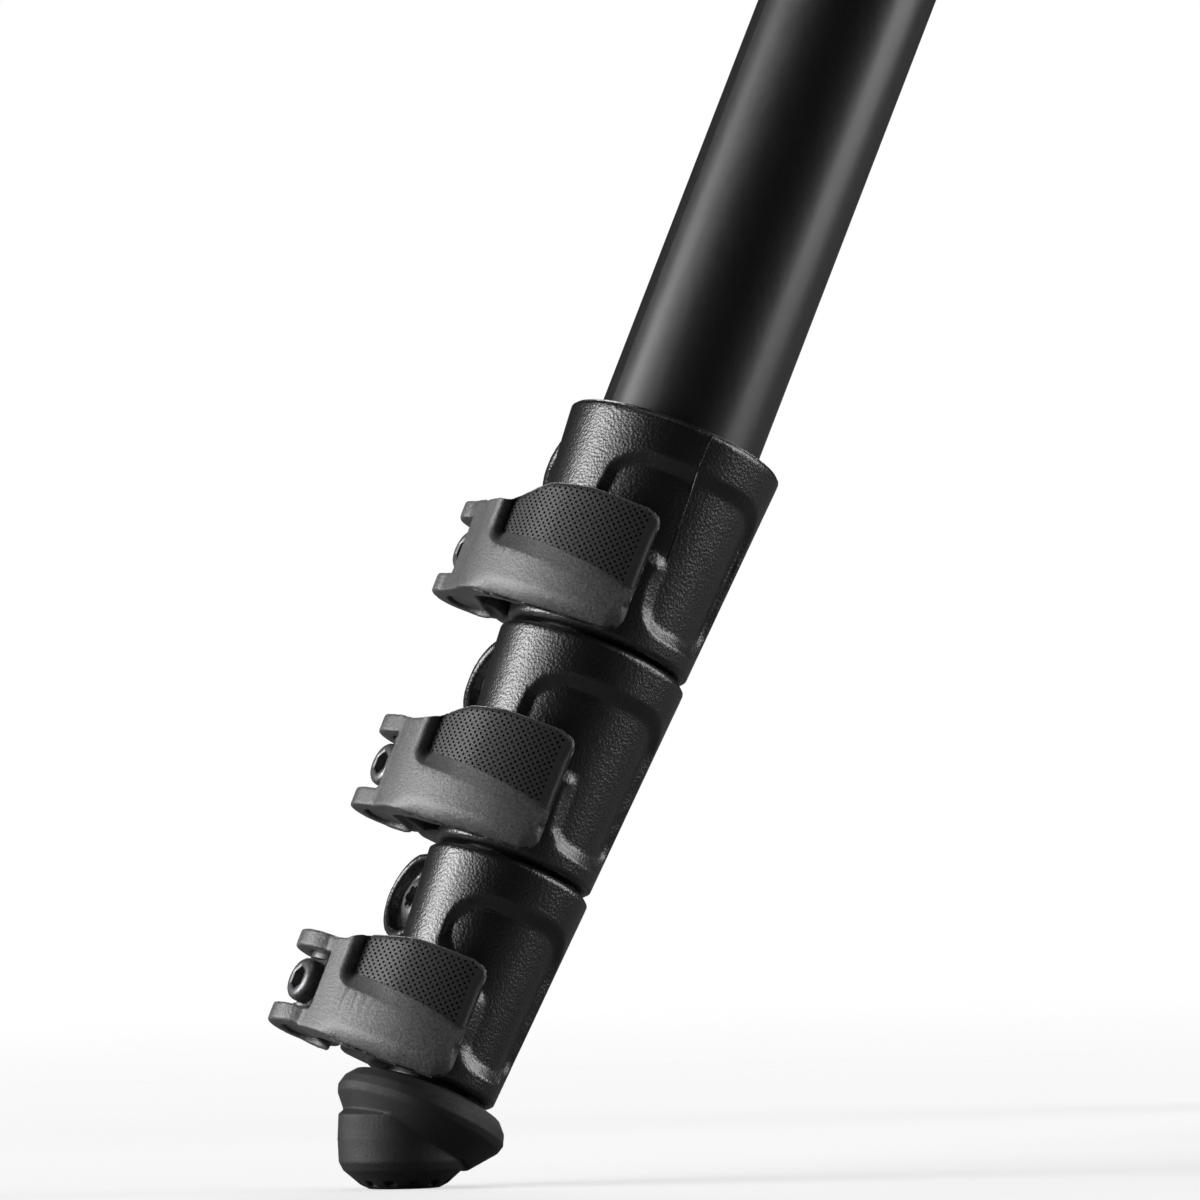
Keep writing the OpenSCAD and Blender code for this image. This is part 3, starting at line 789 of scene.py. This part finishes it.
class TRIPOD_OT_levers(bpy.types.Operator):
    """Moulded flip levers, each with a pitted thumb pad"""
    bl_idname = "tripod.levers"
    bl_label = "Flip levers"

    def execute(self, context):
        look = looks()
        tile = bpy.data.objects.new("pit_tile", pit_tile(look.pit_pitch, look.pit_radius, PIT_DEPTH))
        # the sunk faces of the pits are given the darker black plastic as painted shade
        flat = run_nodes(pit_tree(), {"Tile": tile, "Columns": 40, "Rows": 40, "Spacing": look.pit_pitch,
                                      "Material": moulded_plastic(), "Pit material": black_plastic(),
                                      "Pit depth": PIT_DEPTH})
        for n in (1, 2, 3):
            body = rounded_copy(f"leg_a_lever_{n}", 0.24 * MM, rounds=4, keep=1.0,
                                more=eye_rings(n), place=leg_matrix("a"))
            slope_border(body, n)
            mesh = joined(f"lever_{n}", [thinned(body, keep=0.45), thumb_pad(n, flat)])

            def make(leg, m):
                # material 1, the darker black plastic, is painted shade in the pits of the thumb pad
                link(f"moulded_lever_{leg}_{n}", m, [moulded_plastic(), black_plastic()],
                     f"leg_{leg}_lever_{n}", [f"leg_{leg}_lever_{n}"])
            for_each_leg(make, mesh)
        return {"FINISHED"}


def round_rim(r, a):
    return r * math.cos(a), r * math.sin(a)


def hex_rim(r, a):
    k = r * math.cos(math.pi / 6) / math.cos((a + math.pi / 6) % (math.pi / 3) - math.pi / 6)
    return round_rim(k, a)


def lobed_rim(r, a):
    return round_rim(r * (0.87 + 0.13 * math.cos(6 * a)), a)


def flat_rim(r, a):
    """Round, with a flat 1.65 mm in front of the middle."""
    return min(r * math.cos(a), 1.65), r * math.sin(a)


def turned(place, rings, axis="X", turns=48, bored=False):
    """A closed solid through rings of height along the axis, radius and rim, in mm, at place."""
    verts, faces = [], []
    for h, r, rim in rings:
        for k in range(turns):
            u, v = rim(r, 2 * math.pi * k / turns)
            verts.append((Vector(place) + Vector((h, u, v) if axis == "X" else (u, v, h))) * MM)
    for i in range(len(rings) - (not bored)):
        for k in range(turns):
            a, b = i * turns, (i + 1) % len(rings) * turns
            faces.append((a + k, a + (k + 1) % turns, b + (k + 1) % turns, b + k))
    if not bored:
        faces.append(tuple(reversed(range(turns))))
        faces.append(tuple(range(len(verts) - turns, len(verts))))
    mesh = bpy.data.meshes.new("turned")
    mesh.from_pydata(verts, [], faces)
    crisp(mesh)
    return mesh


def lock_screws(n):
    """Clamp screw, pivot barrel, fixing screw and two nuts of lock n, in the leg's own frame."""
    low, high, pivot = FORK_MID - COLLAR_AT[n], FIXING_Z - COLLAR_AT[n], pivot_x(n)
    face, top = pivot + 3.9, BOSS_OUT - 0.4
    nut = [(0.1, 3.2, hex_rim), (0.3, 3.5, hex_rim), (2.1, 3.5, hex_rim), (2.3, 3.2, hex_rim)]
    clamp = [(-LUG_BACK, 1.6), (0.3 - LUG_BACK, 2), (face - 2.2, 2), (face - 2.2, 3), (face - 2.1, 3.1),
             (face - 0.9, 3.1), (face - 0.45, 2.96), (face - 0.15, 2.66), (face, 2.2)]
    fixing = [(-BOSS_BACK, 1.6), (0.3 - BOSS_BACK, 2), (top - 1.7, 2), (top - 1.7, 3.6), (top - 1.6, 3.7),
              (top - 1.25, 3.6), (top - 0.75, 3.2), (top - 0.35, 2.65), (top - 0.1, 2.1), (top - 0.08, 1.95)]
    barrel = [(-6.55, 2.5, round_rim), (-6.35, 2.8, round_rim), (-3.4, 2.8, round_rim), (-3.4, 2.8, flat_rim),
              (3.4, 2.8, flat_rim), (3.4, 2.8, round_rim), (6.35, 2.8, round_rim), (6.55, 2.5, round_rim)]
    mesh = joined(f"lock_screws_{n}", [
        turned((0, -screw_side(n), low), [(*p, round_rim) for p in clamp] + [
            (face, 1.9, hex_rim), (face - 0.12, 1.7, hex_rim), (face - 1.5, 1.7, hex_rim)]),
        turned((pivot, -screw_side(n), low), barrel, "Z"),
        turned((-LUG_BACK, -screw_side(n), low), nut),
        turned((0, -fixing_side(n), high), [(*p, round_rim) for p in fixing] + [
            (top - 0.12, 1.75, lobed_rim), (top - 1.3, 1.65, lobed_rim)]),
        turned((-BOSS_BACK, -fixing_side(n), high), nut)])
    mesh.transform(leg_matrix("a"))
    return mesh


def thread_tree():
    """A ridge that winds up round the Z axis."""
    tree, given, out = node_group("screw_thread", [
        ("Radius", "NodeSocketFloat"), ("Pitch", "NodeSocketFloat"), ("Depth", "NodeSocketFloat"),
        ("Turns", "NodeSocketFloat"), ("Material", "NodeSocketMaterial")])
    new, link_up = tree.nodes.new, tree.links.new
    height = new("ShaderNodeMath")
    height.operation = "MULTIPLY"
    link_up(given.outputs["Pitch"], height.inputs[0])
    link_up(given.outputs["Turns"], height.inputs[1])
    path = new("GeometryNodeCurveSpiral")
    path.inputs["Resolution"].default_value = 48
    link_up(given.outputs["Turns"], path.inputs["Rotations"])
    link_up(given.outputs["Radius"], path.inputs["Start Radius"])
    link_up(given.outputs["Radius"], path.inputs["End Radius"])
    link_up(height.outputs[0], path.inputs["Height"])
    level = new("GeometryNodeSetCurveNormal")
    level.mode = "Z_UP"
    link_up(path.outputs["Curve"], level.inputs["Curve"])
    ridge = new("GeometryNodeCurvePrimitiveQuadrilateral")
    ridge.mode = "KITE"
    half = new("ShaderNodeMath")
    half.operation = "MULTIPLY"
    half.inputs[1].default_value = 0.5
    link_up(given.outputs["Pitch"], half.inputs[0])
    link_up(given.outputs["Depth"], ridge.inputs["Width"])
    link_up(half.outputs[0], ridge.inputs["Bottom Height"])
    link_up(half.outputs[0], ridge.inputs["Top Height"])
    sweep = new("GeometryNodeCurveToMesh")
    sweep.inputs["Fill Caps"].default_value = True
    link_up(level.outputs["Curve"], sweep.inputs["Curve"])
    link_up(ridge.outputs["Curve"], sweep.inputs["Profile Curve"])
    real = new("GeometryNodeRealizeInstances")
    link_up(sweep.outputs["Mesh"], real.inputs["Geometry"])
    finish = new("GeometryNodeSetMaterial")
    link_up(real.outputs["Geometry"], finish.inputs["Geometry"])
    link_up(given.outputs["Material"], finish.inputs["Material"])
    link_up(finish.outputs["Geometry"], out.inputs["Geometry"])
    return tree


class TRIPOD_OT_screws(bpy.types.Operator):
    """Screws, barrels and nuts of the locks, and the threaded head stud"""
    bl_idname = "tripod.screws"
    bl_label = "Screws"

    def execute(self, context):
        for n in (1, 2, 3):

            def make(leg, m):
                link(f"lock_screws_{leg}_{n}", m, [black_steel()], body_name(leg, n),
                     [f"leg_{leg}_screws_{n}"])
            for_each_leg(make, lock_screws(n))
        low = min(v.co.z for v in frame["nodes"]["head_stud"].data.vertices) / MM
        core = turned((0, 0, 0), [(low, 3.9, round_rim), (low + 0.3, 4.16, round_rim), (-0.1, 4.16, round_rim),
                                  (0, 3.85, round_rim), (10.4, 3.85, round_rim), (11, 3.3, round_rim)], "Z", 64)
        thread = run_nodes(thread_tree(), {"Radius": 4.3 * MM, "Pitch": 1.5875 * MM, "Depth": 0.9 * MM,
                                           "Turns": 5.6, "Material": bare_steel()})
        thread.transform(Matrix.Translation((0, 0, 0.8 * MM)))
        crisp(thread)
        link("threaded_stud", joined("threaded_stud", [core, thread]), [bare_steel()], "column",
             ["head_stud"])
        return {"FINISHED"}


class TRIPOD_OT_castings(bpy.types.Operator):
    """Hinge block, yokes, latches, knob, head plate and feet with rounded edges"""
    bl_idname = "tripod.castings"
    bl_label = "Castings and feet"

    def execute(self, context):
        # each piece's body, and the voxels in mm that round it
        single = {"spider": ("spider", 0.5), "lock_knob": ("lock_knob", 0.4), "head_plate": ("column", 0.4),
                  "column_cap": ("column", 0.4)}
        for node, (body, voxel) in single.items():
            slot = slot_of(node)
            mesh = rounded_copy(node, voxel * MM, rounds=4, keep=0.4)
            link(f"cast_{node}", mesh, [FINISH[slot]()], body, [node])
        each = {"yoke": ("", 0.45), "angle_latch": ("_latch", 0.35), "foot": ("_section_4", 0.2)}
        for part, (body, voxel) in each.items():
            slot = slot_of(f"leg_a_{part}")

            def make(leg, m):
                link(f"cast_{part}_{leg}", m, [FINISH[slot]()], f"leg_{leg}{body}",
                     [f"leg_{leg}_{part}"])
            for_each_leg(make, rounded_copy(f"leg_a_{part}", voxel * MM, rounds=1 if part == "foot" else 4,
                                            keep=0.4, place=leg_matrix("a")))
        return {"FINISHED"}


class TRIPOD_OT_metalwork(bpy.types.Operator):
    """Tubes and everything else that keeps its CAD shape"""
    bl_idname = "tripod.metalwork"
    bl_label = "Tubes"

    def execute(self, context):
        shown = {piece.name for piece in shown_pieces()}
        for node in frame["nodes"]:
            if node in shown:
                paint_node(node)
        return {"FINISHED"}


def light(name, place, aim, size, power):
    """A rectangular soft lamp at place, turned to aim."""
    data = bpy.data.lights.new(name, "AREA")
    data.shape = "RECTANGLE"
    data.size, data.size_y = size
    data.energy = power
    obj = bpy.data.objects.new(name, data)
    bpy.context.scene.collection.objects.link(obj)
    obj.location = place
    obj.rotation_euler = (Vector(aim) - Vector(place)).to_track_quat("-Z", "Y").to_euler()


def floor_material():
    """Pale floor that fades to the white surround and reflects little.

    A leg drawn out below it shows through."""
    m, tree, shader = new_material("studio_floor", (0.82, 0.82, 0.82), 0.9)
    new, link_up = tree.nodes.new, tree.links.new
    clear, dark = new("ShaderNodeBsdfTransparent"), new("ShaderNodeBsdfDiffuse")
    dark.inputs["Color"].default_value = (0.15, 0.15, 0.15, 1)
    away = new("ShaderNodeVectorMath")
    away.operation = "LENGTH"
    link_up(new("ShaderNodeTexCoord").outputs["Object"], away.inputs[0])
    thin, shown = new("ShaderNodeMixShader"), new("ShaderNodeMixShader")
    link_up(ramp(tree, away.outputs["Value"], 0.5, 1.0, 0.6, 1.0), thin.inputs[0])
    link_up(shader.outputs[0], thin.inputs[1])
    link_up(clear.outputs[0], thin.inputs[2])
    link_up(new("ShaderNodeLightPath").outputs["Is Camera Ray"], shown.inputs[0])
    link_up(dark.outputs[0], shown.inputs[1])
    link_up(thin.outputs[0], shown.inputs[2])
    link_up(shown.outputs[0], tree.nodes["Material Output"].inputs[0])
    return m


def add_camera(scene, aim):
    """A level camera with a long lens, far back from aim."""
    data = bpy.data.cameras.new("camera")
    data.lens = CAMERA_LENS
    data.sensor_width = 36
    data.clip_end = 50
    camera = bpy.data.objects.new("camera", data)
    camera.location = aim - Vector((-math.sin(CAMERA_TURN), math.cos(CAMERA_TURN), 0)) * CAMERA_AWAY
    camera.rotation_euler = (math.pi / 2, CAMERA_ROLL, CAMERA_TURN)
    scene.collection.objects.link(camera)
    scene.camera = camera


def add_floor(scene, reach=20):
    """A floor as low as the feet, reach metres to each side."""
    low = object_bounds()[0][2]
    mesh = bpy.data.meshes.new("floor")
    corners = ((-reach, -reach), (reach, -reach), (reach, reach), (-reach, reach))
    mesh.from_pydata([(x, y, low) for x, y in corners], [], [(0, 1, 2, 3)])
    floor = bpy.data.objects.new("floor", mesh)
    scene.collection.objects.link(floor)
    mesh.materials.append(floor_material())
    floor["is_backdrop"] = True


def add_surround(scene):
    """White to the camera, and nearly dark to everything that it would light."""
    world = bpy.data.worlds.new("studio")
    scene.world = world
    world.use_nodes = True
    tree = world.node_tree
    dim, bright = tree.nodes["Background"], tree.nodes.new("ShaderNodeBackground")
    for background, strength in ((dim, 0.008), (bright, 1.0)):
        background.inputs["Color"].default_value = (1, 1, 1, 1)
        background.inputs["Strength"].default_value = strength
    path = tree.nodes.new("ShaderNodeLightPath")
    mix = tree.nodes.new("ShaderNodeMixShader")
    tree.links.new(path.outputs["Is Camera Ray"], mix.inputs[0])
    tree.links.new(dim.outputs[0], mix.inputs[1])
    tree.links.new(bright.outputs[0], mix.inputs[2])
    tree.links.new(mix.outputs[0], tree.nodes["World Output"].inputs[0])


def add_lights(aim):
    """Softboxes at both sides and above, and a wash over the floor behind."""
    light("left_softbox", aim + Vector((-1.32, -0.03, 0.14)), aim, (0.55, 1.2), 30)
    light("left_fill", aim + Vector((-1.2, -0.6, 0.1)), aim, (0.7, 1.3), 14)
    light("right_softbox", aim + Vector((1.3, 0.1, 0.2)), aim, (0.7, 1.4), 22)
    light("top_softbox", Vector((-0.3, -0.3, 1.3)), (0, 0, -0.3), (0.9, 0.9), 2)
    light("floor_wash", Vector((0.2, 1.6, 0.9)), (0, 0.2, -0.38), (1.6, 0.8), 22)


class TRIPOD_OT_stage(bpy.types.Operator):
    """Camera, floor, soft lights and a white surround"""
    bl_idname = "tripod.stage"
    bl_label = "Studio"

    def execute(self, context):
        scene = context.scene
        scene.view_settings.view_transform = "Standard"
        right = Vector((math.cos(CAMERA_TURN), math.sin(CAMERA_TURN), 0))
        aim = leg_matrix("a") @ Vector((0, 0, -295 * MM)) - right * 2.15 * MM
        add_camera(scene, aim)
        add_floor(scene)
        add_surround(scene)
        add_lights(aim)
        return {"FINISHED"}


class TRIPOD_PT_panel(bpy.types.Panel):
    bl_label = "Travel tripod"
    bl_idname = "TRIPOD_PT_panel"
    bl_space_type = "VIEW_3D"
    bl_region_type = "UI"
    bl_category = "Tripod"

    def draw(self, context):
        for prop in TripodLooks.__annotations__:
            self.layout.prop(context.scene.tripod_looks, prop)
        for op in OPERATORS:
            self.layout.operator(op.bl_idname)


OPERATORS = (TRIPOD_OT_stage, TRIPOD_OT_collars, TRIPOD_OT_levers, TRIPOD_OT_screws,
             TRIPOD_OT_castings, TRIPOD_OT_metalwork)
CLASSES = (TripodLooks, *OPERATORS, TRIPOD_PT_panel)


def register():
    for c in CLASSES:
        bpy.utils.register_class(c)
    bpy.types.Scene.tripod_looks = bpy.props.PointerProperty(type=TripodLooks)


def unregister():
    del bpy.types.Scene.tripod_looks
    for c in reversed(CLASSES):
        bpy.utils.unregister_class(c)


def main():
    register()
    bpy.ops.tripod.stage()
    bpy.ops.tripod.collars()
    bpy.ops.tripod.levers()
    bpy.ops.tripod.screws()
    bpy.ops.tripod.castings()
    bpy.ops.tripod.metalwork()


if __name__ == "__main__":
    main()
